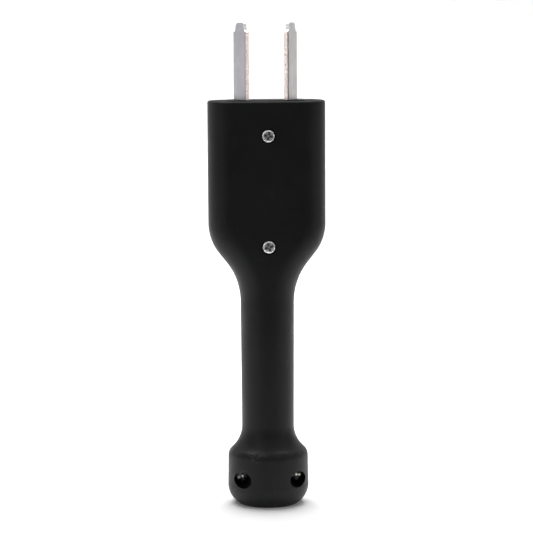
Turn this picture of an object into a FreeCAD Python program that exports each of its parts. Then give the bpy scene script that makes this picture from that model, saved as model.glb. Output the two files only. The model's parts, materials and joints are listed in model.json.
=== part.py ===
"""Two-pole electrode holder: a hand-held moulded case with two contact blades.

Millimetres. The origin is the centre of the foot, +Z runs up the grip to the blades, and the front,
with the screw heads, faces -Y. The case is two moulded shells that meet in the plane Y = 0.
"""
import FreeCAD
import Part
import Sketcher
import math
import os

Vector = FreeCAD.Vector
doc = FreeCAD.newDocument("electrode_holder")

SIZES = {
    # case, outside
    "casing_height": 219.5,
    "head_width": 63.2,
    "head_depth": 30.0,
    "head_edge_radius": 13.0,
    "head_rim_radius": 1.2,
    "head_length": 66.0,
    "shoulder_radius": 26.0,
    "neck_radius": 34.0,
    "neck_slope": 38.0,
    "grip_top_diameter": 29.1,
    "grip_end_diameter": 28.3,
    "flare_radius": 16.4,
    "flare_slope": 45.0,
    "collar_height": 26.3,
    "collar_diameter": 43.9,
    "collar_draft": 0.25,
    "collar_shoulder_radius": 5.5,
    "collar_foot_inset": 6.2,
    "collar_foot_rise": 10.5,
    # case, inside
    "wall": 2.8,
    "foot_floor": 9.5,
    "boss_radius": 4.6,
    "slip": 0.1,
    # contact blades and their block; a drop is measured down from the top of the case
    "blade_width": 12.0,
    "blade_thickness": 2.0,
    "blade_reach": 41.5,
    "blade_length": 95.0,
    "blade_offset": 13.25,
    "blade_turn": 60.0,
    "tongue_length": 4.9,
    "tongue_ledge": 1.3,
    "tongue_taper": 0.9,
    "tongue_taper_rise": 2.9,
    "tongue_flare_radius": 3.6,
    "tongue_inner_ledge": 0.3,
    "tip_round": 2.4,
    "tip_inner_round": 0.9,
    "block_width": 44.0,
    "block_depth": 22.0,
    "block_drop": 35.5,
    "block_proud": 0.4,
    "plug_width": 41.0,
    "plug_depth": 17.0,
    "plug_corner": 3.0,
    # terminals and barrier
    "terminal_width": 11.0,
    "terminal_depth": 9.0,
    "terminal_drop": 41.5,
    "terminal_length": 28.0,
    "core_bore_radius": 3.3,
    "core_bore_length": 15.0,
    "blade_bolt_drop": 47.5,
    "core_screw_drop": 65.0,
    "core_screw_pitch": 7.0,
    "barrier_thickness": 1.6,
    "barrier_drop": 72.0,
    "barrier_tongue": 2.0,
    # screws
    "case_screw_head": 7.6,
    "case_screw_head_rise": 2.4,
    "case_screw_shank": 3.5,
    "case_screw_seat": 12.8,
    "upper_screw_drop": 18.5,
    "lower_screw_drop": 78.0,
    "collar_screw_offset": 15.0,
    "collar_screw_height": 15.2,
    "collar_screw_seat": 2.8,
    "collar_sink_radius": 4.4,
    "insert_radius": 2.7,
    "insert_length": 8.0,
    "insert_waist_depth": 0.35,
    "thread_slip": 0.05,
    "thread_chamfer": 0.4,
    "screw_end_gap": 1.0,
    "shank_clearance": 0.35,
    "head_clearance": 0.25,
    "seat_gap": 0.05,
    "blade_bolt_head": 7.4,
    "blade_bolt_head_rise": 2.6,
    "blade_bolt_shank": 4.0,
    "washer_radius": 3.6,
    "washer_thickness": 1.0,
    "core_screw_head": 6.0,
    "core_screw_shank": 4.0,
    "core_screw_head_rise": 2.2,
    "core_screw_bite": 1.0,
    # cable entry
    "cable_radius": 5.5,
    "cable_slip": 0.1,
    "bush_radius": 9.0,
    "bush_length": 19.0,
    "bush_lift": 0.6,
    "bush_flange_width": 2.4,
    "bush_flange_height": 3.0,
    "bush_flange_thickness": 3.0,
    "clamp_height": 26.4,
    "clamp_width": 25.0,
    "clamp_rise": 6.0,
    "clamp_thickness": 3.4,
    "clamp_saddle_angle": 36.87,
    "clamp_screw_offset": 9.3,
    "clamp_screw_head": 5.4,
    "clamp_screw_head_rise": 1.9,
    "clamp_screw_shank": 3.0,
    "clamp_insert_radius": 2.1,
    "clamp_insert_length": 6.0,
    "clamp_post_wall": 1.5,
}

sheet = doc.addObject("Spreadsheet::Sheet", "sizes")
for row, (alias, value) in enumerate(SIZES.items(), start=1):
    sheet.set(f"A{row}", alias)
    sheet.set(f"B{row}", str(value))
    sheet.setAlias(f"B{row}", alias)
doc.recompute()


class Size:
    """A length or angle that knows both its number and the sheet formula that gives it."""

    def __init__(self, number, formula):
        self.number = float(number)
        self.formula = formula

    def __add__(self, other):
        other = as_size(other)
        return Size(self.number + other.number, f"({self.formula} + {other.formula})")

    def __sub__(self, other):
        other = as_size(other)
        return Size(self.number - other.number, f"({self.formula} - {other.formula})")

    def __mul__(self, other):
        other = as_size(other)
        return Size(self.number * other.number, f"({self.formula} * {other.formula})")

    def __truediv__(self, other):
        other = as_size(other)
        return Size(self.number / other.number, f"({self.formula} / {other.formula})")

    def __radd__(self, other):
        return as_size(other) + self

    def __rsub__(self, other):
        return as_size(other) - self

    def __rmul__(self, other):
        return as_size(other) * self

    def __neg__(self):
        return Size(-self.number, f"(-1 * {self.formula})")


def as_size(value):
    if isinstance(value, Size):
        return value
    return Size(value, f"({value})")


def size(alias):
    """The named cell of the sheet."""
    return Size(sheet.get(alias), f"sizes.{alias}")


def sine(angle):
    """Sine of an angle in degrees."""
    return Size(math.sin(math.radians(angle.number)), f"sin({angle.formula} * 1 deg)")


def cosine(angle):
    """Cosine of an angle in degrees."""
    return Size(math.cos(math.radians(angle.number)), f"cos({angle.formula} * 1 deg)")


def arc_through(run, rise):
    """Radius of the arc that leaves a straight wall and moves sideways by rise over a length of run."""
    return (run * run + rise * rise) / (rise * 2)


ZERO = as_size(0)
OVERRUN = 1    # how far a cutting solid passes beyond the surface that it opens
CUT_SLACK = 0.01


def bind(thing, prop, value):
    """Tie one property to the sheet, in the unit that the property has."""
    value = as_size(value)
    thing.setExpression(prop, value.formula)


def place(thing, base, turn=None):
    """Tie the placement's position to the sheet; the turn is (axis, angle in degrees)."""
    base = [as_size(part) for part in base]
    rotation = FreeCAD.Rotation(*turn) if turn else FreeCAD.Rotation()
    thing.Placement = FreeCAD.Placement(Vector(*[part.number for part in base]), rotation)
    for letter, part in zip("xyz", base):
        bind(thing, f"Placement.Base.{letter}", part)
    return thing


TO_FRONT = (Vector(1, 0, 0), 90)    # local +Z points to the front, -Y
TO_BACK = (Vector(1, 0, 0), -90)    # local +Z points to the back, +Y

# ---------------------------------------------------------------- sketch and feature helpers


def new_body(name):
    return doc.addObject("PartDesign::Body", name)


def new_sketch(body, name, role, lift=ZERO):
    """A sketch on one of the body's own origin planes, lifted along that plane's normal."""
    sketch = body.newObject("Sketcher::SketchObject", name)
    plane = [feature for feature in body.Origin.OriginFeatures if feature.Role == role][0]
    sketch.AttachmentSupport = (plane, [""])
    sketch.MapMode = "FlatFace"
    sketch.AttachmentOffset = FreeCAD.Placement(Vector(0, 0, lift.number), FreeCAD.Rotation())
    bind(sketch, "AttachmentOffset.Base.z", lift)
    return sketch


def constrain(sketch, name, kind, targets, value):
    """One named driving dimension, tied to the sheet."""
    index = sketch.addConstraint(Sketcher.Constraint(kind, *targets, value.number))
    sketch.renameConstraint(index, name)
    bind(sketch, f"Constraints.{name}", value)


def draw_outline(sketch, corners, tag="p"):
    """A closed outline. A corner is (x, y) or (x, y, radius): the run from it to the next corner is
    straight, or an arc that bulges to the right of the way of travel (radius > 0) or to its left."""
    corners = [[as_size(part) for part in corner] for corner in corners]
    ends = []
    for index, corner in enumerate(corners):
        following = corners[(index + 1) % len(corners)]
        start = Vector(corner[0].number, corner[1].number, 0)
        stop = Vector(following[0].number, following[1].number, 0)
        if len(corner) == 2:
            piece = sketch.addGeometry(Part.LineSegment(start, stop))
            ends.append((piece, 1, 2))
            continue
        bend = corner[2].number
        half = (stop - start) * 0.5
        rise = math.sqrt(max(bend * bend - half.Length ** 2, 0.0))
        left = Vector(-half.y, half.x, 0).normalize()
        centre = start + half + left * (rise if bend > 0 else -rise)
        first, last = (start, stop) if bend > 0 else (stop, start)
        angles = [math.atan2(point.y - centre.y, point.x - centre.x) for point in (first, last)]
        if angles[1] <= angles[0]:
            angles[1] += 2 * math.pi
        circle = Part.Circle(centre, Vector(0, 0, 1), abs(bend))
        piece = sketch.addGeometry(Part.ArcOfCircle(circle, *angles))
        ends.append((piece, 1, 2) if bend > 0 else (piece, 2, 1))
        radius = corner[2] if bend > 0 else -corner[2]
        constrain(sketch, f"{tag}{index}r", "Radius", (piece,), radius)
    for index, corner in enumerate(corners):
        piece, start, _ = ends[index]
        before, _, stop = ends[index - 1]
        sketch.addConstraint(Sketcher.Constraint("Coincident", before, stop, piece, start))
        constrain(sketch, f"{tag}{index}x", "DistanceX", (piece, start), corner[0])
        constrain(sketch, f"{tag}{index}y", "DistanceY", (piece, start), corner[1])


def draw_circle(sketch, centre, radius, tag="c"):
    centre = [as_size(part) for part in centre]
    radius = as_size(radius)
    middle = Vector(centre[0].number, centre[1].number, 0)
    piece = sketch.addGeometry(Part.Circle(middle, Vector(0, 0, 1), radius.number))
    constrain(sketch, f"{tag}x", "DistanceX", (piece, 3), centre[0])
    constrain(sketch, f"{tag}y", "DistanceY", (piece, 3), centre[1])
    constrain(sketch, f"{tag}r", "Radius", (piece,), radius)


def rectangle(half_width, half_height):
    return [(-half_width, -half_height), (half_width, -half_height),
            (half_width, half_height), (-half_width, half_height)]


def pad(body, sketch, length, midplane=False, reverse=False):
    feature = body.newObject("PartDesign::Pad", sketch.Name + "_pad")
    feature.Profile = sketch
    bind(feature, "Length", length)
    feature.Midplane = midplane
    feature.Reversed = reverse
    sketch.Visibility = False
    doc.recompute()
    return feature


def pocket(body, sketch, length=None, midplane=False, reverse=False):
    """A pocket that must take material away; without a length it goes right through."""
    doc.recompute()
    before = body.Shape.Volume
    feature = body.newObject("PartDesign::Pocket", sketch.Name + "_pocket")
    feature.Profile = sketch
    if length is None:
        feature.Type = "ThroughAll"
    else:
        bind(feature, "Length", length)
    feature.Midplane = midplane
    feature.Reversed = reverse
    doc.recompute()
    if body.Shape.Volume > before - CUT_SLACK:
        raise RuntimeError(f"{feature.Name} takes nothing away")
    return feature


def turned(name, profile):
    """A body of revolution about local Z: the profile is (radius, height) corners."""
    body = new_body(name)
    sketch = new_sketch(body, name + "_profile", "XZ_Plane")
    draw_outline(sketch, profile)
    feature = body.newObject("PartDesign::Revolution", name + "_turned")
    feature.Profile = sketch
    feature.ReferenceAxis = (sketch, ["V_Axis"])
    feature.Angle = 360.0
    doc.recompute()
    return body


def cylinder(name, radius, length, base, turn=None):
    thing = doc.addObject("Part::Cylinder", name)
    bind(thing, "Radius", radius)
    bind(thing, "Height", length)
    return place(thing, base, turn)


def box(name, low, high):
    thing = doc.addObject("Part::Box", name)
    for prop, near, far in zip(("Length", "Width", "Height"), low, high):
        bind(thing, prop, as_size(far) - as_size(near))
    return place(thing, low)


def fuse(name, things):
    thing = doc.addObject("Part::MultiFuse", name)
    thing.Shapes = things
    doc.recompute()
    return thing


def cut(name, base, tools):
    thing = doc.addObject("Part::Cut", name)
    thing.Base = base
    thing.Tool = tools[0] if len(tools) == 1 else fuse(name + "_tools", tools)
    doc.recompute()
    return thing


def common(name, things):
    thing = doc.addObject("Part::MultiCommon", name)
    thing.Shapes = things
    doc.recompute()
    return thing


nodes = []


def node(thing, name):
    """Give a finished sub-part its label, which names its file."""
    thing.Label = name
    nodes.append(thing)
    return thing


# ---------------------------------------------------------------- the case

half_collar = size("collar_diameter") / 2
collar_top = half_collar - size("collar_draft")
grip_top = size("grip_top_diameter") / 2
grip_end = size("grip_end_diameter") / 2
half_width = size("head_width") / 2
half_depth = size("head_depth") / 2
slope_sine = sine(size("neck_slope"))
slope_cosine = cosine(size("neck_slope"))
flare_sine = sine(size("flare_slope"))
flare_cosine = cosine(size("flare_slope"))

top_level = size("casing_height")
shoulder_level = top_level - size("head_length")

# The head narrows to the grip by a convex shoulder arc, a straight slope and a concave neck arc.
shoulder_in = size("shoulder_radius") * (1 - slope_cosine)
shoulder_drop = size("shoulder_radius") * slope_sine
neck_in = size("neck_radius") * (1 - slope_cosine)
neck_drop = size("neck_radius") * slope_sine
slope_in = half_width - grip_top - shoulder_in - neck_in
slope_drop = slope_in * slope_cosine / slope_sine
neck_top = shoulder_level - shoulder_drop - slope_drop
neck_foot = neck_top - neck_drop

# The grip widens to the collar by a concave flare, a straight slope and a rounded shoulder.
collar_shoulder_in = size("collar_shoulder_radius") * (1 - flare_cosine)
collar_shoulder_rise = size("collar_shoulder_radius") * flare_sine
flare_out = size("flare_radius") * (1 - flare_cosine)
flare_drop = size("flare_radius") * flare_sine
ramp_out = collar_top - grip_end - flare_out - collar_shoulder_in
ramp_rise = ramp_out * flare_sine / flare_cosine
ramp_foot = size("collar_height") + collar_shoulder_rise
flare_foot = ramp_foot + ramp_rise
flare_top = flare_foot + flare_drop


FOOT_FLAT = 0.3    # half the width of the flat left between the rounded edges at the neck's foot
UPRIGHT = 1        # an edge that climbs more than this is one of the head's long edges


def head_solid(name, inset, top):
    """The head and neck, every face set in by inset, as a pad trimmed from the side and rounded."""
    body = new_body(name)
    front = new_sketch(body, name + "_front", "XZ_Plane")
    convex = size("shoulder_radius") - inset
    concave = size("neck_radius") + inset
    wide = half_width - inset
    narrow = grip_top - inset
    bend_out = wide - convex * (1 - slope_cosine)
    bend_in = narrow + concave * (1 - slope_cosine)
    bend_out_height = shoulder_level - convex * slope_sine
    bend_in_height = neck_foot + concave * slope_sine
    draw_outline(front, [
        (narrow, neck_foot, -concave), (bend_in, bend_in_height),
        (bend_out, bend_out_height, convex), (wide, shoulder_level),
        (wide, top), (-wide, top),
        (-wide, shoulder_level, convex), (-bend_out, bend_out_height),
        (-bend_in, bend_in_height, -concave), (-narrow, neck_foot)])
    pad(body, front, (half_depth - inset) * 2, midplane=True)

    # In side view the flat faces ease in to the grip's radius by two gentle tangent arcs.
    side = new_sketch(body, name + "_side", "YZ_Plane")
    deep = half_depth - inset
    ease = deep - narrow
    run = shoulder_level - neck_foot
    ease_radius = arc_through(run / 2, ease / 2)
    middle = (deep + narrow) / 2
    middle_height = neck_foot + run / 2
    margin = size("wall")
    for sign, tag in ((1, "r"), (-1, "l")):
        draw_outline(side, [
            (narrow * sign, neck_foot - margin), (narrow * sign, neck_foot, -ease_radius * sign),
            (middle * sign, middle_height, ease_radius * sign), (deep * sign, shoulder_level),
            ((deep + margin) * sign, shoulder_level),
            ((deep + margin) * sign, neck_foot - margin)], tag)
    pocket(body, side, half_width * 2 + margin, midplane=True)

    # The long edges are rounded; outside, the radius grows to the grip's own at the foot of the neck.
    edge_radius = size("head_edge_radius").number - inset.number
    foot_radius = narrow.number - FOOT_FLAT if inset.number == 0 else edge_radius

    def radius_at(height):
        share = (height - neck_foot.number) / (neck_top.number - neck_foot.number)
        return edge_radius + (foot_radius - edge_radius) * (1 - min(max(share, 0.0), 1.0))

    rounded = doc.addObject("Part::Fillet", name + "_rounded")
    rounded.Base = body
    edges = []
    for index, edge in enumerate(body.Shape.Edges, start=1):
        first = edge.valueAt(edge.FirstParameter)
        last = edge.valueAt(edge.LastParameter)
        if abs(first.z - last.z) > UPRIGHT:
            edges.append((index, radius_at(first.z), radius_at(last.z)))
    rounded.Edges = edges
    doc.recompute()
    return rounded


def rim_rounded(thing, name):
    """Round the outline of the head's top face."""
    rounded = doc.addObject("Part::Fillet", name)
    rounded.Base = thing
    top = thing.Shape.BoundBox.ZMax
    radius = size("head_rim_radius").number
    rounded.Edges = [(index, radius, radius) for index, edge in enumerate(thing.Shape.Edges, start=1)
                     if edge.BoundBox.ZMin > top - radius / 2]
    doc.recompute()
    return rounded


outer_head = rim_rounded(head_solid("outer_head", ZERO, top_level), "outer_head_rim")
foot_flat = half_collar - size("collar_foot_inset")
foot_bend = arc_through(size("collar_foot_rise"), size("collar_foot_inset"))
outer_grip = turned("outer_grip", [
    (0, 0), (foot_flat, 0, foot_bend),
    (half_collar, size("collar_foot_rise")),
    (collar_top, size("collar_height"), size("collar_shoulder_radius")),
    (collar_top - collar_shoulder_in, ramp_foot), (grip_end + flare_out, flare_foot, -size("flare_radius")),
    (grip_end, flare_top), (grip_top, neck_foot), (0, neck_foot)])
outside = fuse("outside", [outer_head, outer_grip])

wall = size("wall")
inner_head = head_solid("inner_head", wall, top_level - wall)
inner_shoulder = size("collar_shoulder_radius") - wall
inner_flare = size("flare_radius") + wall
inner_collar = collar_top - wall
inner_end = grip_end - wall
inner_grip = turned("inner_grip", [
    (0, size("foot_floor")), (inner_collar, size("foot_floor")),
    (inner_collar, size("collar_height"), inner_shoulder),
    (inner_collar - inner_shoulder * (1 - flare_cosine), size("collar_height") + inner_shoulder * flare_sine),
    (inner_end + inner_flare * (1 - flare_cosine), flare_top - inner_flare * flare_sine, -inner_flare),
    (inner_end, flare_top), (grip_top - wall, neck_foot), (0, neck_foot)])
inside = fuse("inside", [inner_head, inner_grip])

# Posts and ribs that stay in the hollow: four screw posts, the bush's tube and two clamp posts.
upper_screw_level = top_level - size("upper_screw_drop")
case_screws = {
    "upper": (ZERO, upper_screw_level, size("case_screw_seat")),
    "lower": (ZERO, top_level - size("lower_screw_drop"), size("case_screw_seat")),
    "left_collar": (-size("collar_screw_offset"), size("collar_screw_height"), size("collar_screw_seat")),
    "right_collar": (size("collar_screw_offset"), size("collar_screw_height"), size("collar_screw_seat")),
}
clamp_screw_places = (-size("clamp_screw_offset"), size("clamp_screw_offset"))
boss_radius = size("boss_radius")
kept = []
for name, (across, height, _) in case_screws.items():
    kept.append(cylinder(name + "_post", boss_radius, half_collar * 2,
                         (across, half_collar, height), TO_FRONT))
tube_radius = size("bush_radius") + wall
kept.append(cylinder("bush_tube", tube_radius, size("bush_length") + size("bush_lift"), (0, 0, 0)))
clamp_face = size("cable_radius")
clamp_post_radius = size("clamp_insert_radius") + size("clamp_post_wall")
for side, across in zip(("left", "right"), clamp_screw_places):
    kept.append(cylinder(side + "_clamp_post", clamp_post_radius, half_collar,
                         (across, size("slip"), size("clamp_height")), TO_BACK))
hollow = cut("hollow", inside, kept)

# Openings in both shells: the bush's seat with its flange groove, the block's plug, the screws.
bush_seat = size("bush_radius") + size("slip")
bush_flange_radius = size("bush_radius") + size("bush_flange_width")
bush_flange_seat = bush_flange_radius + size("slip")
groove_foot = size("bush_flange_height") - size("slip")
groove_rise = size("bush_flange_thickness") + size("slip") * 2
plug_hole = new_body("plug_hole")
plug_slip = size("slip")
plug_sketch = new_sketch(plug_hole, "plug_hole_outline", "XY_Plane", top_level - wall - OVERRUN)


def rounded_rectangle(half_wide, half_deep, corner):
    """A rectangle with round corners, run anticlockwise."""
    flat_wide = half_wide - corner
    flat_deep = half_deep - corner
    return [(-flat_wide, -half_deep), (flat_wide, -half_deep, corner),
            (half_wide, -flat_deep), (half_wide, flat_deep, corner),
            (flat_wide, half_deep), (-flat_wide, half_deep, corner),
            (-half_wide, flat_deep), (-half_wide, -flat_deep, corner)]


draw_outline(plug_sketch, rounded_rectangle(size("plug_width") / 2 + plug_slip,
                                            size("plug_depth") / 2 + plug_slip,
                                            size("plug_corner") + plug_slip))
pad(plug_hole, plug_sketch, wall + OVERRUN * 2)
cuts = [
    hollow, plug_hole,
    cylinder("bush_seat", bush_seat, size("bush_length") * 2, (0, 0, -OVERRUN)),
    cylinder("bush_groove", bush_flange_seat, groove_rise, (0, 0, groove_foot)),
]
shank_hole = size("case_screw_shank") / 2 + size("shank_clearance")
for name, (across, height, seat) in case_screws.items():
    sink_radius = size("case_screw_head") / 2 + size("head_clearance")
    if "collar" in name:
        sink_radius = size("collar_sink_radius")
    cuts.append(cylinder(name + "_sink", sink_radius, half_collar, (across, -seat, height), TO_FRONT))
    cuts.append(cylinder(name + "_shank_hole", shank_hole, half_collar + OVERRUN,
                         (across, OVERRUN, height), TO_FRONT))
    cuts.append(cylinder(name + "_insert_hole", size("insert_radius"), size("insert_length") + OVERRUN,
                         (across, 0, height), TO_BACK))
for side, across in zip(("left", "right"), clamp_screw_places):
    cuts.append(cylinder(side + "_clamp_insert_hole", size("clamp_insert_radius"),
                         size("clamp_insert_length") + OVERRUN,
                         (across, 0, size("clamp_height")), TO_BACK))
case = cut("case", outside, cuts)

side_reach = half_width + OVERRUN
top_reach = top_level + OVERRUN
front_half = box("front_half", (-side_reach, -half_width, -OVERRUN), (side_reach, 0, top_reach))
rear_half = box("rear_half", (-side_reach, 0, -OVERRUN), (side_reach, half_width, top_reach))
node(common("front", [case, front_half]), "front_shell")
node(common("rear", [case, rear_half]), "rear_shell")

# ---------------------------------------------------------------- screws, inserts, washers


# Shares of a pan head: where its rounded side starts and ends, and its recess.
SIDE_SHARE = 0.30
CROWN_RADIUS_SHARE = 0.66
CROWN_FOOT_SHARE = 0.86
SIDE_BEND_SHARE = 0.40
RECESS_DEPTH_SHARE = 0.70
RECESS_HALF_WIDTH_SHARE = 0.085
CROSS_HALF_LENGTH_SHARE = 0.31
SLOT_HALF_LENGTH_SHARE = 0.6


def screw(name, head, rise, shank, length, recess, base, turn):
    """A pan-head screw: head above local z = 0, shank below, with a cross or a slot in its head."""
    head_radius = head / 2
    shank_radius = shank / 2
    lead = size("thread_chamfer")
    crown_radius = head_radius * CROWN_RADIUS_SHARE
    crown_foot = rise * CROWN_FOOT_SHARE
    body = turned(name, [
        (0, -length), (shank_radius - lead, -length), (shank_radius, lead - length), (shank_radius, 0),
        (head_radius, 0), (head_radius, rise * SIDE_SHARE, head_radius * SIDE_BEND_SHARE),
        (crown_radius, crown_foot, arc_through(crown_radius, rise - crown_foot)), (0, rise)])
    half_length = head * (CROSS_HALF_LENGTH_SHARE if recess == "cross" else SLOT_HALF_LENGTH_SHARE)
    half_wide = head * RECESS_HALF_WIDTH_SHARE
    for crossing in (False, True) if recess == "cross" else (False,):
        sketch = new_sketch(body, name + ("_across" if crossing else "_slot"), "XY_Plane", rise)
        sides = (half_wide, half_length) if crossing else (half_length, half_wide)
        draw_outline(sketch, rectangle(*sides))
        pocket(body, sketch, rise * RECESS_DEPTH_SHARE)
    return place(body, base, turn)


def turned_to_front(spin):
    """The turn that faces a screw to the front with its recess spun by some degrees."""
    rotation = FreeCAD.Rotation(*TO_FRONT) * FreeCAD.Rotation(Vector(0, 0, 1), spin)
    return (rotation.Axis, math.degrees(rotation.Angle))


insert_start = size("slip") * 3
CASE_SPIN = {"upper": -12, "lower": 17, "left_collar": 30, "right_collar": 8}
for name, (across, height, seat) in case_screws.items():
    seat_face = seat + size("seat_gap")
    length = seat_face + insert_start + size("insert_length") - size("screw_end_gap")
    made = screw(name + "_screw_body", size("case_screw_head"), size("case_screw_head_rise"),
                 size("case_screw_shank"), length, "cross",
                 (across, -seat_face, height), turned_to_front(CASE_SPIN[name]))
    node(made, name + ("_screw" if "collar" in name else "_case_screw"))


def insert(name, radius, bore, length, base):
    """A brass insert whose two bands, each two fifths of its length, stand proud of a waist."""
    waist = radius - size("insert_waist_depth")
    band = length * 2 / 5
    slope = size("insert_waist_depth")
    body = turned(name, [
        (bore, 0), (radius, 0), (radius, band), (waist, band + slope),
        (waist, length - band - slope), (radius, length - band), (radius, length), (bore, length)])
    return place(body, base, TO_BACK)


for name, (across, height, _) in case_screws.items():
    bore = size("case_screw_shank") / 2 + size("thread_slip")
    made = insert(name + "_insert_body", size("insert_radius"), bore, size("insert_length"),
                  (across, insert_start, height))
    node(made, name + "_insert")

# ---------------------------------------------------------------- blades, terminals, block

SIDES = {"left": -1, "right": 1}
blade_half = size("blade_width") / 2
tip_level = top_level + size("blade_reach")
ledge_level = tip_level - size("tongue_length")
taper_level = ledge_level + size("tongue_taper_rise")
tongue_foot = blade_half - size("tongue_ledge")
tongue_half = tongue_foot - size("tongue_taper")
flare_foot_in = blade_half - size("tongue_inner_ledge")
inner_tip_in = tongue_half - size("tip_inner_round")
bolt_level = top_level - size("blade_bolt_drop")


def blade_frame(sign):
    """The turn about Z that carries local +X to the blade's rear, outer edge."""
    return (Vector(0, 0, 1), 90 - sign * (90 - size("blade_turn").number))


def blade_point(sign, along, out, height):
    """A point given along the blade's width, out from its outer face, and up."""
    turn_sine = sine(size("blade_turn"))
    turn_cosine = cosine(size("blade_turn"))
    return (sign * (size("blade_offset") + along * turn_cosine + out * turn_sine),
            along * turn_sine - out * turn_cosine, height)


for side, sign in SIDES.items():
    body = new_body(side + "_blade_body")
    outline = new_sketch(body, side + "_blade_outline", "XZ_Plane")
    draw_outline(outline, [
        (-blade_half, tip_level - size("blade_length")), (blade_half, tip_level - size("blade_length")),
        (blade_half, ledge_level), (tongue_foot, ledge_level),
        (tongue_half, taper_level, size("tip_round")), (tongue_half - size("tip_round"), tip_level),
        (-inner_tip_in, tip_level, size("tip_inner_round")),
        (-tongue_half, tip_level - size("tip_inner_round")),
        (-tongue_half, taper_level, -size("tongue_flare_radius")),
        (-flare_foot_in, ledge_level), (-blade_half, ledge_level)])
    pad(body, outline, size("blade_thickness"), midplane=True)
    hole = new_sketch(body, side + "_blade_hole", "XZ_Plane")
    draw_circle(hole, (0, bolt_level), size("blade_bolt_shank") / 2 + size("slip") * 2)
    pocket(body, hole, midplane=True)
    place(body, blade_point(sign, ZERO, ZERO, ZERO), blade_frame(sign))
    node(body, side + "_blade")

terminal_out = size("blade_thickness") / 2 + size("terminal_depth") / 2
core_screw_level = top_level - size("core_screw_drop")
core_heights = (core_screw_level, core_screw_level + size("core_screw_pitch"))
terminal_foot = top_level - size("terminal_drop") - size("terminal_length")
for side, sign in SIDES.items():
    body = new_body(side + "_terminal_body")
    outline = new_sketch(body, side + "_terminal_outline", "XY_Plane", terminal_foot)
    draw_outline(outline, rectangle(size("terminal_width") / 2, size("terminal_depth") / 2))
    pad(body, outline, size("terminal_length"))
    bore = new_sketch(body, side + "_core_bore", "XY_Plane", terminal_foot)
    draw_circle(bore, (0, 0), size("core_bore_radius"))
    pocket(body, bore, size("core_bore_length"), reverse=True)
    threads = new_sketch(body, side + "_bolt_thread", "XZ_Plane")
    draw_circle(threads, (0, bolt_level), size("blade_bolt_shank") / 2)
    pocket(body, threads, size("terminal_depth") * 2, midplane=True)
    for index, height in enumerate(core_heights):
        hole = new_sketch(body, f"{side}_core_thread_{index}", "XZ_Plane")
        draw_circle(hole, (0, height), size("core_screw_shank") / 2)
        pocket(body, hole, size("terminal_depth"), reverse=sign > 0)
    place(body, blade_point(sign, ZERO, terminal_out, ZERO), blade_frame(sign))
    node(body, side + "_terminal")


def facing(sign, outward):
    """The turn that points local +Z away from the blade's outer face, or away from its inner face."""
    turn = math.radians(size("blade_turn").number)
    normal = Vector(sign * math.sin(turn), -math.cos(turn), 0)
    if not outward:
        normal = normal * -1
    rotation = FreeCAD.Rotation(Vector(0, 0, 1), normal)
    return (rotation.Axis, math.degrees(rotation.Angle))


inner_face = -size("blade_thickness") / 2
outer_face = size("blade_thickness") / 2 + size("terminal_depth")
for side, sign in SIDES.items():
    seat = inner_face - size("washer_thickness")
    reach_in = (size("washer_thickness") + size("blade_thickness") + size("terminal_depth")
                - size("screw_end_gap"))
    bolt = screw(side + "_bolt_body", size("blade_bolt_head"), size("blade_bolt_head_rise"),
                 size("blade_bolt_shank"), reach_in, "cross",
                 blade_point(sign, ZERO, seat, bolt_level), facing(sign, False))
    node(bolt, side + "_blade_bolt")
    hole_radius = size("blade_bolt_shank") / 2 + size("slip")
    washer = turned(side + "_washer_body", [
        (hole_radius, 0), (size("washer_radius"), 0),
        (size("washer_radius"), size("washer_thickness")), (hole_radius, size("washer_thickness"))])
    place(washer, blade_point(sign, ZERO, inner_face, bolt_level), facing(sign, False))
    node(washer, side + "_lock_washer")
    pair = []
    for index, height in enumerate(core_heights):
        depth = size("terminal_depth") / 2 - size("core_bore_radius") + size("core_screw_bite")
        pair.append(screw(f"{side}_core_screw_{index}", size("core_screw_head"),
                          size("core_screw_head_rise"), size("core_screw_shank"), depth, "slot",
                          blade_point(sign, ZERO, outer_face, height), facing(sign, True)))
    group = doc.addObject("Part::Compound", side + "_core_screw_pair")
    group.Links = pair
    node(group, side + "_core_screws")

block_top = top_level - wall - size("slip")
block_foot = top_level - size("block_drop")
block = new_body("block_body")
outline = new_sketch(block, "block_outline", "XY_Plane", block_foot)
draw_outline(outline, rectangle(size("block_width") / 2, size("block_depth") / 2))
pad(block, outline, block_top - block_foot)
outline = new_sketch(block, "plug_outline", "XY_Plane", block_top)
draw_outline(outline, rounded_rectangle(size("plug_width") / 2, size("plug_depth") / 2,
                                        size("plug_corner")))
pad(block, outline, wall + size("slip") + size("block_proud"))
post_hole = new_sketch(block, "post_hole", "XZ_Plane")
draw_circle(post_hole, (0, upper_screw_level), boss_radius + size("slip"))
pocket(block, post_hole, midplane=True)
groove = new_sketch(block, "barrier_groove", "XY_Plane", block_foot)
barrier_half = size("barrier_thickness") / 2
draw_outline(groove, rectangle(barrier_half + size("slip"), size("block_depth")))
pocket(block, groove, size("barrier_tongue") + size("slip"), reverse=True)
slots = []
for side, sign in SIDES.items():
    slot_half_wide = blade_half + size("slip")
    slot_half_thick = size("blade_thickness") / 2 + size("slip")
    slot = doc.addObject("Part::Box", side + "_blade_slot")
    bind(slot, "Length", slot_half_wide * 2)
    bind(slot, "Width", slot_half_thick * 2)
    bind(slot, "Height", top_level)
    turn_sine = sine(size("blade_turn"))
    turn_cosine = cosine(size("blade_turn"))
    corner_x = sign * (size("blade_offset") - slot_half_wide * turn_cosine) + slot_half_thick * turn_sine
    corner_y = -slot_half_wide * turn_sine - sign * slot_half_thick * turn_cosine
    place(slot, (corner_x, corner_y, block_foot - OVERRUN), blade_frame(sign))
    slots.append(slot)
node(cut("block", block, slots), "blade_block")

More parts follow.
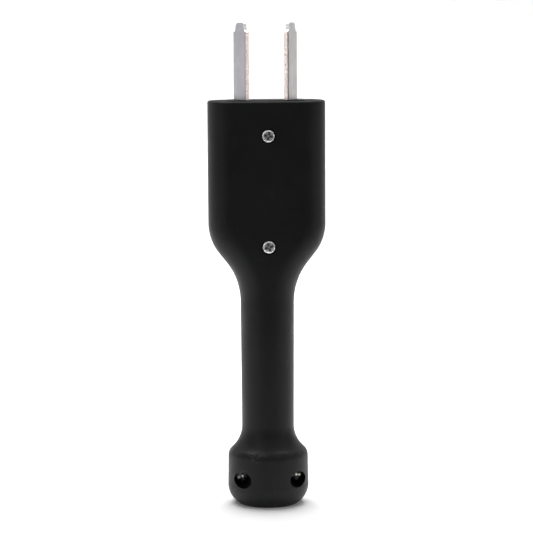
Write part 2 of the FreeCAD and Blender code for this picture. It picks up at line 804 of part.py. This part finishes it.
barrier = box("barrier", (-barrier_half, size("wall") + size("slip") * 2 - half_depth,
                          top_level - size("barrier_drop")),
              (barrier_half, half_depth - size("wall") - size("slip") * 2,
               block_foot - size("slip")))
tongue = box("barrier_tongue_part", (-barrier_half, size("slip") - size("block_depth") / 2,
                                     block_foot - OVERRUN),
             (barrier_half, size("block_depth") / 2 - size("slip"),
              block_foot + size("barrier_tongue")))
node(fuse("barrier_plate", [barrier, tongue]), "terminal_barrier")

# ---------------------------------------------------------------- cable entry

bore_radius = size("cable_radius") + size("cable_slip")
flange_top = size("bush_flange_height") + size("bush_flange_thickness")
bush_top = size("bush_lift") + size("bush_length")
bush = turned("bush_body", [
    (bore_radius, size("bush_lift")), (size("bush_radius"), size("bush_lift")),
    (size("bush_radius"), size("bush_flange_height")),
    (bush_flange_radius, size("bush_flange_height")),
    (bush_flange_radius, flange_top), (size("bush_radius"), flange_top),
    (size("bush_radius"), bush_top), (bore_radius, bush_top)])
node(bush, "cable_bush")

clamp = new_body("clamp_body")
outline = new_sketch(clamp, "clamp_outline", "XY_Plane", size("clamp_height") - size("clamp_rise") / 2)
clamp_half = size("clamp_width") / 2
clamp_front = clamp_face + size("clamp_thickness")
saddle_half = size("cable_radius") * cosine(size("clamp_saddle_angle"))
saddle_y = size("cable_radius") * sine(size("clamp_saddle_angle"))
draw_outline(outline, [
    (-clamp_half, -clamp_front), (clamp_half, -clamp_front), (clamp_half, -saddle_y),
    (saddle_half, -saddle_y, -size("cable_radius")), (-saddle_half, -saddle_y), (-clamp_half, -saddle_y)])
pad(clamp, outline, size("clamp_rise"))
holes = new_sketch(clamp, "clamp_holes", "XZ_Plane")
for index, across in enumerate(clamp_screw_places):
    draw_circle(holes, (across, size("clamp_height")), size("clamp_screw_shank") / 2 + size("slip") * 2,
                f"c{index}")
pocket(clamp, holes, midplane=True)
node(clamp, "cable_clamp")

pair = []
sleeves = []
for side, across in zip(("left", "right"), clamp_screw_places):
    length = clamp_front + size("clamp_insert_length")
    pair.append(screw(side + "_clamp_screw", size("clamp_screw_head"), size("clamp_screw_head_rise"),
                      size("clamp_screw_shank"), length, "cross",
                      (across, -clamp_front, size("clamp_height")), TO_FRONT))
    sleeves.append(insert(side + "_clamp_insert", size("clamp_insert_radius"),
                          size("clamp_screw_shank") / 2 + size("thread_slip"),
                          size("clamp_insert_length"), (across, insert_start, size("clamp_height"))))
for name, members in (("clamp_screws", pair), ("clamp_inserts", sleeves)):
    group = doc.addObject("Part::Compound", name + "_group")
    group.Links = members
    node(group, name)

# ---------------------------------------------------------------- checks and files

doc.recompute()
for thing in doc.Objects:
    if "Invalid" in thing.State or "Error" in thing.State:
        raise RuntimeError(f"{thing.Name} is {thing.State}")
for thing in nodes:
    if thing.Shape.isNull() or not thing.Shape.isValid() or not thing.Shape.Solids:
        raise RuntimeError(f"{thing.Label} has no valid solid")

os.makedirs("parts", exist_ok=True)
for thing in nodes:
    thing.Shape.exportStep(f"parts/{thing.Label}.step")
    bounds = thing.Shape.BoundBox
    print(f"{thing.Label}: {len(thing.Shape.Solids)} solid, {thing.Shape.Volume / 1000:.2f} cm3, "
          f"z {bounds.ZMin:.2f} to {bounds.ZMax:.2f}")
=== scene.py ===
# %% [markdown]
# A two-pole electrode holder: a satin black moulded case that stands on its round collar, with two
# nickel-plated copper blades standing out of its head. The engineering model already gives every part
# in its true shape, place and size, down to the cross in each screw, so nothing is modelled again here.
# This script gives each part a finish worked out by shader nodes, and sets up a plain white studio.

# %% Load the frame
import json
import math

import bpy
import numpy as np
from mathutils import Euler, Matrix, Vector


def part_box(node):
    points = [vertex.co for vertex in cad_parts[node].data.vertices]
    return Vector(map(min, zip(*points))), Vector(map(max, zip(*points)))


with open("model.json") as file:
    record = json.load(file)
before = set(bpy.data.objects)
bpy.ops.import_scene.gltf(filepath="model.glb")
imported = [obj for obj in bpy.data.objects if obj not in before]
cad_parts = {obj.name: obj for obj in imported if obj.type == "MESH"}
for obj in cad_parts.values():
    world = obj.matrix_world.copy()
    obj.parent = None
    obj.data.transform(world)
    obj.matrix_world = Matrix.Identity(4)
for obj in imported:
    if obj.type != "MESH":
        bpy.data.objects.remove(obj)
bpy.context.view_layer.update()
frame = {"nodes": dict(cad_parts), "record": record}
nodes = frame["nodes"]

# %% [markdown]
# Distances are in metres, as in the frame. Two landmarks are read from the parts' own boxes, so the
# finishes follow the model if its sizes change: the head's top and the blades' tips. A box can't say
# where a surface bends, so the heights at which the collar wears are given as numbers.

# %% Landmarks
head_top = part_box("front_shell")[1].z
blade_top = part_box("left_blade")[1].z
SHOULDER_HEIGHT = 0.0295    # the bend at the top of the collar
FOOT_HEIGHT = 0.0030        # the rounded edge under the collar
TONGUE_LENGTH = 0.0049      # the narrow end of a blade
CROSS_REACH = 0.0029        # from the middle of a case screw's head to the ends of its cross
print("head top %.4f, blade top %.4f" % (head_top, blade_top))

# %% [markdown]
# Every finish below is a tree of nodes. It could be wired by hand in the Shader Editor, but a long sum
# is easier to read as a sum. The class below wraps one output socket, and its operators add Math nodes,
# so `1 - mask * 0.5` builds the same chain that dragging nodes would. A second class holds one material
# and adds every other kind of node through a single method.

# %% Shader arithmetic


class Wire:
    """A number flowing out of a node's socket; sums on it add Math nodes."""

    def __init__(self, finish, socket):
        self.finish = finish
        self.socket = socket

    def math(self, operation, *others):
        """One Math node: this number first, then the others."""
        values = {index: value for index, value in enumerate((self, *others))}
        return self.finish.add("ShaderNodeMath", {"operation": operation}, values)

    def __add__(self, other):
        return self.math("ADD", other)

    def __sub__(self, other):
        return self.math("SUBTRACT", other)

    def __mul__(self, other):
        return self.math("MULTIPLY", other)

    def __rsub__(self, other):
        return self.math("MULTIPLY", -1.0).math("ADD", other)

    __radd__ = __add__
    __rmul__ = __mul__

    def power(self, exponent):
        return self.math("POWER", exponent)

    def size(self):
        return self.math("ABSOLUTE")

    def either(self, other):
        """The larger of two numbers, which joins two masks."""
        return self.math("MAXIMUM", other)

    def ramp(self, low, high):
        """0 below low, 1 above high, smooth between; with low above high the ramp falls."""
        falls = low > high
        ends = (high, low) if falls else (low, high)
        return self.finish.add("ShaderNodeMapRange", {"interpolation_type": "SMOOTHSTEP"},
                               {"Value": self, "From Min": ends[0], "From Max": ends[1],
                                "To Min": 1.0 if falls else 0.0, "To Max": 0.0 if falls else 1.0})


class Finish:
    """One procedural material on Object coordinates, around one Principled shader."""

    def __init__(self, name, **constants):
        self.material = bpy.data.materials.new(name)
        self.material.use_nodes = True
        self.tree = self.material.node_tree
        self.shader = self.tree.nodes["Principled BSDF"]
        for socket, value in constants.items():
            self.shader.inputs[socket.replace("_", " ")].default_value = value
        self.place = self.add("ShaderNodeTexCoord", {}, {}, "Object")

    def add(self, kind, settings, sockets, output=0):
        """Add one node: its settings first, then its sockets' values or wires. Gives one output."""
        node = self.tree.nodes.new(kind)
        for setting, value in settings.items():
            setattr(node, setting, value)
        for socket, value in sockets.items():
            if isinstance(value, Wire):
                self.tree.links.new(value.socket, node.inputs[socket])
            else:
                node.inputs[socket].default_value = value
        return Wire(self, node.outputs[output])

    def stretched(self, scale):
        """Object coordinates multiplied by a scale along each axis."""
        return self.add("ShaderNodeMapping", {}, {"Vector": self.place, "Scale": scale})

    def noise(self, scale, detail=2.0, rough=0.5, along=None):
        """Soft random values about 0.5; scale is cells per metre."""
        return self.add("ShaderNodeTexNoise", {},
                        {"Vector": along or self.place, "Scale": scale, "Detail": detail,
                         "Roughness": rough})

    def spots(self, scale, along=None):
        """Distance to the nearest of many scattered points, as a share of a cell."""
        return self.add("ShaderNodeTexVoronoi", {}, {"Vector": along or self.place, "Scale": scale})

    def part(self, letter):
        """One of the Object coordinates x, y, z, in metres."""
        return self.add("ShaderNodeSeparateXYZ", {}, {"Vector": self.place}, letter)

    def distance(self, point):
        """How far the shaded point is from a fixed point of the object, in metres."""
        return self.add("ShaderNodeVectorMath", {"operation": "DISTANCE"},
                        {0: self.place, 1: point}, "Value")

    def along(self, direction):
        """How far the shaded point lies along a fixed direction, in metres."""
        return self.add("ShaderNodeVectorMath", {"operation": "DOT_PRODUCT"},
                        {0: self.place, 1: direction}, "Value")

    def blend(self, mask, first, second):
        """The first colour where the mask is 0 and the second where it is 1."""
        return self.add("ShaderNodeMix", {"data_type": "RGBA"},
                        {"Factor": mask, 6: first, 7: second}, 2)

    def feed(self, **wires):
        """Link the shader's varying sockets."""
        for socket, wire in wires.items():
            self.tree.links.new(wire.socket, self.shader.inputs[socket.replace("_", " ")])

    def relief(self, height, depth, after=None):
        """A Bump node whose full height is depth metres; a second relief goes over a first."""
        sockets = {"Height": height, "Strength": 1.0, "Distance": depth}
        if after is not None:
            sockets["Normal"] = after
        return self.add("ShaderNodeBump", {}, sockets)


def rgb(red, green, blue):
    return (red, green, blue, 1.0)


print("shader arithmetic ready")

# %% [markdown]
# The case is glass-filled nylon from a spark-eroded mould. Close up it has a fine, even grain that
# makes it satin rather than shiny. Handling polishes the grain in soft patches, and the collar, which
# knocks against the bench, carries faint grey rubs and one clear scuff on its shoulder. A fine line runs
# round the middle where the two shells meet. One flat black would hide all of this, and a picture
# wrapped round the case would smear at the neck, but noise on Object coordinates has the same grain
# everywhere. Colour, roughness and the reliefs share the same masks, so that a rub looks worn in every
# way at once.

# %% Moulded case finish
KNOCK_PLACE = (-0.0095, -0.0190, SHOULDER_HEIGHT)


def moulded_case(name):
    """Satin black moulded nylon with grain, polish, rubs, scratches and the line between the shells."""
    finish = Finish(name, Specular_IOR_Level=0.25)
    height = finish.part("Z")
    grain = finish.noise(2600.0, detail=3.0, rough=0.6)
    pebble = finish.noise(900.0, detail=2.0)
    clouds = finish.noise(28.0, detail=4.0, rough=0.55)
    soft_patch = finish.noise(60.0, detail=3.0).ramp(0.45, 0.75)

    near_collar = height.ramp(0.050, 0.030)
    rub_noise = finish.noise(210.0, detail=5.0, rough=0.7, along=finish.stretched((1.0, 1.0, 0.35)))
    knock = finish.distance(KNOCK_PLACE).ramp(0.0075, 0.0020)
    streaks = finish.noise(620.0, detail=4.0, rough=0.75, along=finish.stretched((0.45, 1.0, 1.3)))
    rubs = (rub_noise.ramp(0.56, 0.72) * near_collar).either(streaks.ramp(0.50, 0.66) * knock * 1.6)
    shoulder = (height - SHOULDER_HEIGHT).size().ramp(0.0016, 0.0002)
    foot = (height - FOOT_HEIGHT).size().ramp(0.0030, 0.0006)
    rim = (height - (head_top - 0.0006)).size().ramp(0.0008, 0.0001)
    edge_wear = shoulder.either(foot * 0.7).either(rim * 0.6) * finish.noise(420.0, 4.0).ramp(0.45, 0.70)
    scratch_lines = finish.noise(900.0, detail=1.0, along=finish.stretched((1.0, 1.0, 0.05)))
    scratch_where = finish.noise(75.0, detail=1.0).ramp(0.60, 0.68)
    scratches = scratch_lines.ramp(0.66, 0.70) * scratch_where
    specks = finish.spots(520.0).ramp(0.10, 0.05) * finish.noise(40.0).ramp(0.55, 0.70)

    marks = (rubs * 0.30 + edge_wear * 0.35 + scratches * 0.22).ramp(0.0, 1.0)
    colour = finish.blend(clouds.ramp(0.35, 0.70), rgb(0.0050, 0.0053, 0.0054), rgb(0.0075, 0.0078, 0.0080))
    colour = finish.blend(marks, colour, rgb(0.060, 0.060, 0.060))
    colour = finish.blend(specks * 0.35, colour, rgb(0.16, 0.16, 0.155))
    top_face = height.ramp(head_top - 0.0003, head_top - 0.0001)
    roughness = 0.42 + clouds * 0.06 - soft_patch * 0.05 - edge_wear * 0.08 + grain * 0.05 + top_face * 0.4
    surface = finish.relief(grain + pebble * 0.6, 0.00006)
    surface = finish.relief(scratches * -1.0 + rubs * 0.3, 0.00004, after=surface)
    seam = finish.part("Y").size().ramp(0.00016, 0.00004)
    colour = finish.blend(seam * 0.7, colour, rgb(0.0015, 0.0015, 0.0015))
    surface = finish.relief(seam * -1.0, 0.00008, after=surface)
    finish.feed(Base_Color=colour, Roughness=roughness, Normal=surface)
    return finish.material


case_finish = moulded_case("case_moulded_nylon")
print("made", case_finish.name)

# %% [markdown]
# The block that the blades pass through is compression-moulded phenolic. It is a little browner and
# duller than the case, with tiny mineral flecks. It could share the case's nylon, but side by side the
# two would then look like one piece, so it has its own rougher grain and pale flecks.

# %% Insulator finish


def phenolic(name):
    """Matt, faintly flecked compression moulding."""
    finish = Finish(name, Specular_IOR_Level=0.35)
    grain = finish.noise(1500.0, detail=4.0, rough=0.65)
    flecks = finish.spots(1400.0).ramp(0.16, 0.08)
    colour = finish.blend(grain.ramp(0.3, 0.7), rgb(0.012, 0.012, 0.0125), rgb(0.024, 0.023, 0.022))
    colour = finish.blend(flecks * 0.25, colour, rgb(0.09, 0.08, 0.07))
    finish.feed(Base_Color=colour, Roughness=0.60 + grain * 0.12,
                Normal=finish.relief(grain + flecks * 0.4, 0.00005))
    return finish.material


insulator_finish = phenolic("insulator_phenolic")
print("made", insulator_finish.name)

# %% [markdown]
# Each blade is sheared from strip that was plated before it was cut, so its broad faces are nickel and
# its cut edges are bare copper. Painting the faces one by one would need their numbers, which change
# when the model does. The finish tells faces from edges by the angle between the surface and the blade's
# broad side instead, and that direction is measured from the blade itself: it is the narrow principal
# axis of its outline in plan.

# %% Direction of a blade


def flat_directions(name):
    """Unit vectors square to a flat part's broad side and rearward along its width, in plan, with the
    place of its front edge along that width. They are the principal axes of its points above the head."""
    mesh = nodes[name].data
    points = np.empty(len(mesh.vertices) * 3)
    mesh.vertices.foreach_get("co", points)
    points = points.reshape(-1, 3)
    plan = points[points[:, 2] > head_top][:, :2]
    _, axes = np.linalg.eigh(np.cov((plan - plan.mean(axis=0)).T))
    width = axes[:, 1] * np.sign(axes[1, 1])
    return Vector((*axes[:, 0], 0.0)), Vector((*width, 0.0)), float((plan @ width).min())


blade_directions = {side: flat_directions(side + "_blade") for side in ("left", "right")}
for side, (normal, width, edge) in blade_directions.items():
    print(side, "blade faces", [round(part, 3) for part in normal], "front edge at %.4f" % edge)

# %% [markdown]
# Nickel on rolled strip keeps faint lines from the rollers, so its noise is stretched along the blade.
# Shearing tears the copper, which leaves it pink, rough and bright where the light catches the grain,
# and rolls the nickel over the front corner in a thin brown line. The tongue at the end is stamped and
# cleaner. All of it is metal, so the colour comes from what the blade reflects, tinted a little.

# %% Plated blade finish


def plated_blade(name, normal, width, front_edge, tint, burr):
    """Nickel on the broad faces, with rolling lines, handling marks and a dark line along the front
    corner, as strong as burr; bare sheared copper on the rest."""
    finish = Finish(name, Metallic=1.0)
    facing = finish.add("ShaderNodeVectorMath", {"operation": "DOT_PRODUCT"},
                        {0: finish.add("ShaderNodeNewGeometry", {}, {}, "Normal"), 1: normal}, "Value")
    cut_edge = facing.size().ramp(0.75, 0.45)

    rolling = finish.noise(1700.0, detail=3.0, along=finish.stretched((1.0, 1.0, 0.012)))
    clouds = finish.noise(110.0, detail=4.0, rough=0.6)
    wipes = finish.noise(520.0, detail=2.0, along=finish.stretched((1.0, 1.0, 0.06))).ramp(0.62, 0.70)
    pits = finish.spots(1500.0).ramp(0.09, 0.04) * clouds.ramp(0.45, 0.60)
    nickel = finish.blend(clouds.ramp(0.35, 0.68), rgb(*(0.49 * part for part in tint)),
                          rgb(*(0.57 * part for part in tint)))
    nickel = finish.blend(wipes * 0.25, nickel, rgb(0.76, 0.75, 0.745))
    nickel = finish.blend(pits * 0.6, nickel, rgb(0.26, 0.22, 0.19))

    tear = finish.noise(2300.0, detail=4.0, rough=0.7, along=finish.stretched((1.0, 1.0, 0.5)))
    smear = finish.noise(900.0, detail=3.0, rough=0.65).ramp(0.46, 0.60)
    copper = finish.blend(tear.ramp(0.35, 0.65), rgb(0.80, 0.60, 0.54), rgb(0.95, 0.86, 0.83))
    copper = finish.blend(smear * 0.75, copper, rgb(0.93, 0.89, 0.88))
    tongue = finish.part("Z").ramp(blade_top - TONGUE_LENGTH, blade_top - TONGUE_LENGTH + 0.0004)
    copper = finish.blend(tongue, copper, rgb(1.0, 0.99, 0.985))

    rolled = (finish.along(width) - front_edge).ramp(0.0021, 0.0012) * (1 - cut_edge)
    rolled = rolled * finish.noise(800.0, detail=3.0).ramp(0.25, 0.50)
    nickel = finish.blend(rolled * burr, nickel, rgb(0.10, 0.065, 0.05))
    colour = finish.blend(cut_edge, nickel, copper)
    smooth = 0.24 + rolling * 0.10 + clouds * 0.06 - wipes * 0.05
    torn = 0.20 + tear * 0.12 + tongue * 0.14
    roughness = smooth * (1 - cut_edge) + torn * cut_edge
    height = (rolling * 0.18 - pits) * (1 - cut_edge) + tear * cut_edge * (1 - tongue) * 1.6
    finish.feed(Base_Color=colour, Roughness=roughness, Normal=finish.relief(height, 0.00003))
    return finish.material


BLADE_TINT = {"left": (1.0, 0.975, 1.03), "right": (1.02, 1.0, 1.0)}
BLADE_BURR = {"left": 0.2, "right": 1.0}
blade_finishes = {side: plated_blade(side + "_blade_plating", *directions, BLADE_TINT[side], BLADE_BURR[side])
                  for side, directions in blade_directions.items()}
print("made", [finish.name for finish in blade_finishes.values()])

# %% [markdown]
# The fasteners are steel with bright zinc. Zinc has a pale, slightly blue crystal bloom. On the case
# screws, painted shade darkens the cross and a disc round it, all but the very middle, and leaves the
# head's rim as a bright ring. The collar's screws sit at the bottom of deep holes: their near-black zinc
# is painted shade, with a few bare bright grains. The inner fittings are the same steel, plainer, and
# turned brass, whose tool marks run in rings. One function with a few settings makes all the steels,
# so that they look like one family.

# %% Metal finishes


def plated_steel(name, shade, shine, bloom=0.5, dents=0.0, glints=0.0, recess_of=None, metal=1.0):
    """Zinc-plated steel: crystal bloom, fine pits and small smooth marks. Dents are shallow waves of the
    plating, glints are bare bright grains, and recess_of names the screw given painted shade in its cross."""
    finish = Finish(name, Metallic=metal)
    crystals = finish.noise(1900.0, detail=4.0, rough=0.6)
    marks = finish.noise(1300.0, detail=2.0, along=finish.stretched((1.0, 0.3, 1.0))).ramp(0.60, 0.70)
    pits = finish.spots(2400.0).ramp(0.12, 0.05)
    dull = rgb(shade * 0.80, shade * 0.81, shade * 0.84)
    colour = finish.blend(crystals.ramp(0.35, 0.65) * bloom, rgb(shade, shade, shade), dull)
    colour = finish.blend(pits * 0.5, colour, rgb(0.30, 0.30, 0.31))
    if glints > 0:
        grains = finish.spots(430.0).ramp(0.32, 0.20) * glints
        colour = finish.blend(grains, colour, rgb(0.95, 0.92, 0.78))
    roughness = shine + crystals * 0.14 - marks * 0.06
    if recess_of is not None:
        # Painted shade: the cross and a disc round the middle of the head are darkened, all but the very
        # middle.
        low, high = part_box(recess_of)
        deep = (finish.part("Y") - low.y).ramp(0.0005, 0.0011)
        across = finish.part("X") - (low.x + high.x) / 2
        up = finish.part("Z") - (low.z + high.z) / 2
        from_axis = (across * across + up * up).power(0.5)
        near_axis = from_axis.ramp(CROSS_REACH + 0.0002, CROSS_REACH - 0.0002)
        soft_patch = from_axis.ramp(0.0025, 0.0020) * 0.62
        cross_painted_shade = (deep * near_axis).either(soft_patch) * from_axis.ramp(0.0002, 0.0008)
        colour = finish.blend(cross_painted_shade * 0.85, colour, rgb(0.085, 0.080, 0.078))
        roughness = roughness + cross_painted_shade * 0.25
    surface = None
    if dents > 0:
        surface = finish.relief(finish.noise(1000.0, detail=2.0) * dents, 0.00022)
    finish.feed(Base_Color=colour, Roughness=roughness,
                Normal=finish.relief(crystals * 0.5 - pits, 0.00003, after=surface))
    return finish.material


def turned_brass(name):
    """Brass with fine tool rings and a few tarnished patches."""
    finish = Finish(name, Metallic=1.0)
    rings = finish.noise(4000.0, detail=1.0, along=finish.stretched((0.2, 1.0, 0.2)))
    tarnish = finish.noise(240.0, detail=5.0, rough=0.6).ramp(0.50, 0.72)
    colour = finish.blend(tarnish * 0.7, rgb(0.78, 0.58, 0.27), rgb(0.46, 0.31, 0.14))
    finish.feed(Base_Color=colour, Roughness=0.26 + tarnish * 0.18 + rings * 0.06,
                Normal=finish.relief(rings, 0.00002))
    return finish.material


def soft_rubber(name):
    """Matt black rubber with a mould skin, faint bloom and pores."""
    finish = Finish(name, Specular_IOR_Level=0.3)
    skin = finish.noise(1800.0, detail=4.0, rough=0.6)
    bloom = finish.noise(70.0, detail=3.0).ramp(0.45, 0.70)
    pores = finish.spots(1500.0).ramp(0.12, 0.05)
    colour = finish.blend(bloom * 0.5, rgb(0.012, 0.012, 0.012), rgb(0.035, 0.035, 0.036))
    finish.feed(Base_Color=colour, Roughness=0.72 + skin * 0.12,
                Normal=finish.relief(skin - pores * 0.6, 0.00006))
    return finish.material


finishes = {
    "case": case_finish,
    "insulator": insulator_finish,
    "brass": turned_brass("turned_brass"),
    "steel": plated_steel("inner_zinc_steel", 0.62, 0.34),
    "steel_clamp": plated_steel("pressed_clamp_steel", 0.52, 0.40, bloom=0.8),
    # The collar screws' near-black zinc is painted shade for screws deep in their holes; the bright grains
    # are bare metal.
    "zinc_dull": plated_steel("zinc_screw_painted_shade", 0.10, 0.20, bloom=1.0, dents=0.5, glints=1.0),
    "rubber": soft_rubber("bush_rubber"),
}
print("made", len(finishes), "shared finishes")

# %% [markdown]
# Every part takes the finish of its material slot in the record. There are two exceptions. Each blade
# has its own finish, because their broad sides face different ways, and so has each bright case screw,
# because its painted shade lies round the middle of its own cross.

# %% Dress the parts
slot_of = {part["node"]: part["material_slot"] for part in frame["record"]["subparts"]}


def dress(thing, material):
    """Give an object one material in place of what it came with."""
    thing.data.materials.clear()
    thing.data.materials.append(material)


for name, thing in nodes.items():
    side = name.split("_")[0]
    if slot_of[name] == "blade":
        dress(thing, blade_finishes[side])
    elif slot_of[name] == "zinc":
        dress(thing, plated_steel(name + "_zinc", 1.0, 0.18, bloom=0.2, dents=1.0, recess_of=name,
                                  metal=0.9))
    else:
        dress(thing, finishes[slot_of[name]])
print("dressed", len(nodes), "parts")

# %% [markdown]
# The studio is a white sweep: a floor that curves up into a backdrop far behind. Two flat planes would
# leave a line where they meet, so a profile with a quarter circle is carried sideways instead. It ends
# just in front of the part, because more white floor there would grey the black collar.

# %% Floor and backdrop


def grid_mesh(name, points):
    """A mesh from an array of points, rows by columns by 3; each square of the grid is one face."""
    rows, columns, _ = points.shape
    index = np.arange(rows * columns).reshape(rows, columns)
    faces = np.stack([index[:-1, :-1], index[:-1, 1:], index[1:, 1:], index[1:, :-1]], axis=-1)
    mesh = bpy.data.meshes.new(name)
    mesh.from_pydata(points.reshape(-1, 3).tolist(), [], faces.reshape(-1, 4).tolist())
    mesh.polygons.foreach_set("use_smooth", [True] * len(mesh.polygons))
    mesh.update()
    thing = bpy.data.objects.new(name, mesh)
    bpy.context.scene.collection.objects.link(thing)
    return thing


def sweep(half_width, front, back, radius, height):
    """A profile carried sideways: flat from front to back, a quarter circle, then straight up."""
    angle = np.linspace(0.0, math.pi / 2, 24)
    along = np.concatenate([[front], back + radius * np.sin(angle), [back + radius]])
    up = np.concatenate([[0.0], radius * (1 - np.cos(angle)), [height]])
    across = np.linspace(-half_width, half_width, 2)
    points = np.zeros((len(along), 2, 3))
    points[:, :, 0] = across
    points[:, :, 1] = along[:, None]
    points[:, :, 2] = up[:, None]
    return points


backdrop = grid_mesh("studio_sweep", sweep(3.0, -0.24, 1.4, 0.6, 3.0))
backdrop_finish = Finish("studio_white", Roughness=0.85, Specular_IOR_Level=0.1,
                         Base_Color=rgb(0.935, 0.935, 0.935), Emission_Color=rgb(1.0, 0.995, 1.0),
                         Emission_Strength=0.03)
dress(backdrop, backdrop_finish.material)
print("floor and backdrop", len(backdrop.data.polygons), "faces")

# %% [markdown]
# A black object is shown by what its edges reflect. The big soft boxes stand overhead and at both sides,
# a little behind the part, so the front stays dark and only the rounded edges catch the white. Two
# narrow boxes in front light the blades' copper edges, and a very small one beside the camera reaches to
# the bottom of the screw holes and gives the metal there its sparks.

# %% Lights


def soft_light(name, place, aim, width, height, watts, spread=180.0):
    """A rectangular soft box that faces a point; a small spread keeps its light from the far floor."""
    lamp = bpy.data.lights.new(name, "AREA")
    lamp.shape = "RECTANGLE"
    lamp.size = width
    lamp.size_y = height
    lamp.energy = watts
    lamp.spread = math.radians(spread)
    thing = bpy.data.objects.new(name, lamp)
    thing.location = place
    thing.rotation_euler = (Vector(aim) - Vector(place)).to_track_quat("-Z", "Y").to_euler()
    bpy.context.scene.collection.objects.link(thing)
    return thing


middle = Vector((0.0, 0.0, head_top * 0.6))
soft_light("overhead", (0.0, 0.64, 1.30), (0.0, 0.62, 0.0), 1.4, 1.4, 18.2, spread=120.0)
soft_light("front_top", (0.0, -1.0, 1.15), (0.0, 0.0, 0.15), 2.4, 0.45, 3.3)
soft_light("left_back", (-1.25, 0.62, 0.5), middle, 0.5, 1.0, 1.38)
soft_light("right_back", (1.15, 0.85, 0.5), middle, 0.5, 1.0, 1.42)
soft_light("left_front", (-1.10, -0.75, 0.60), middle, 0.26, 1.3, 2.1)
soft_light("right_front", (1.20, -0.58, 0.60), middle, 0.24, 1.3, 1.9)
soft_light("spark", (0.05, -1.26, 0.22), (0.0, 0.0, 0.1), 0.05, 0.05, 0.06)
soft_light("backdrop_wash", (0.0, 0.75, 1.3), (0.0, 2.0, 0.6), 2.4, 0.7, 11.5)
world = bpy.data.worlds.new("studio_air")
world.use_nodes = True
world.node_tree.nodes["Background"].inputs["Color"].default_value = rgb(1.0, 1.0, 1.0)
world.node_tree.nodes["Background"].inputs["Strength"].default_value = 0.11
bpy.context.scene.world = world
bpy.context.scene.view_settings.view_transform = "Standard"

# %% [markdown]
# A near camera with a wide lens would make the head look larger than the foot. This one has a long lens
# a little over a metre away, just above the blades, so the upright part keeps nearly parallel sides. It
# stands a few degrees to the left and looks down by under seven degrees.

# %% Camera
CAMERA_DISTANCE = 1.228
CAMERA_HEIGHT = 0.273
CAMERA_SIDE = math.radians(-4.4)
CAMERA_PITCH = math.radians(6.66)
CAMERA_ROLL = math.radians(-0.33)
CAMERA_YAW = math.radians(0.015)
lens = bpy.data.cameras.new("studio_camera")
lens.sensor_width = 36.0
lens.lens = 154.2
lens.clip_end = 20.0
camera = bpy.data.objects.new("studio_camera", lens)
camera.location = (CAMERA_DISTANCE * math.sin(CAMERA_SIDE),
                   -CAMERA_DISTANCE * math.cos(CAMERA_SIDE), CAMERA_HEIGHT)
facing = Euler((math.pi / 2 - CAMERA_PITCH, 0.0, CAMERA_SIDE + CAMERA_YAW)).to_matrix()
camera.rotation_euler = (facing @ Euler((0.0, 0.0, CAMERA_ROLL)).to_matrix()).to_euler()
bpy.context.scene.collection.objects.link(camera)
bpy.context.scene.camera = camera
print("camera at", [round(part, 3) for part in camera.location])
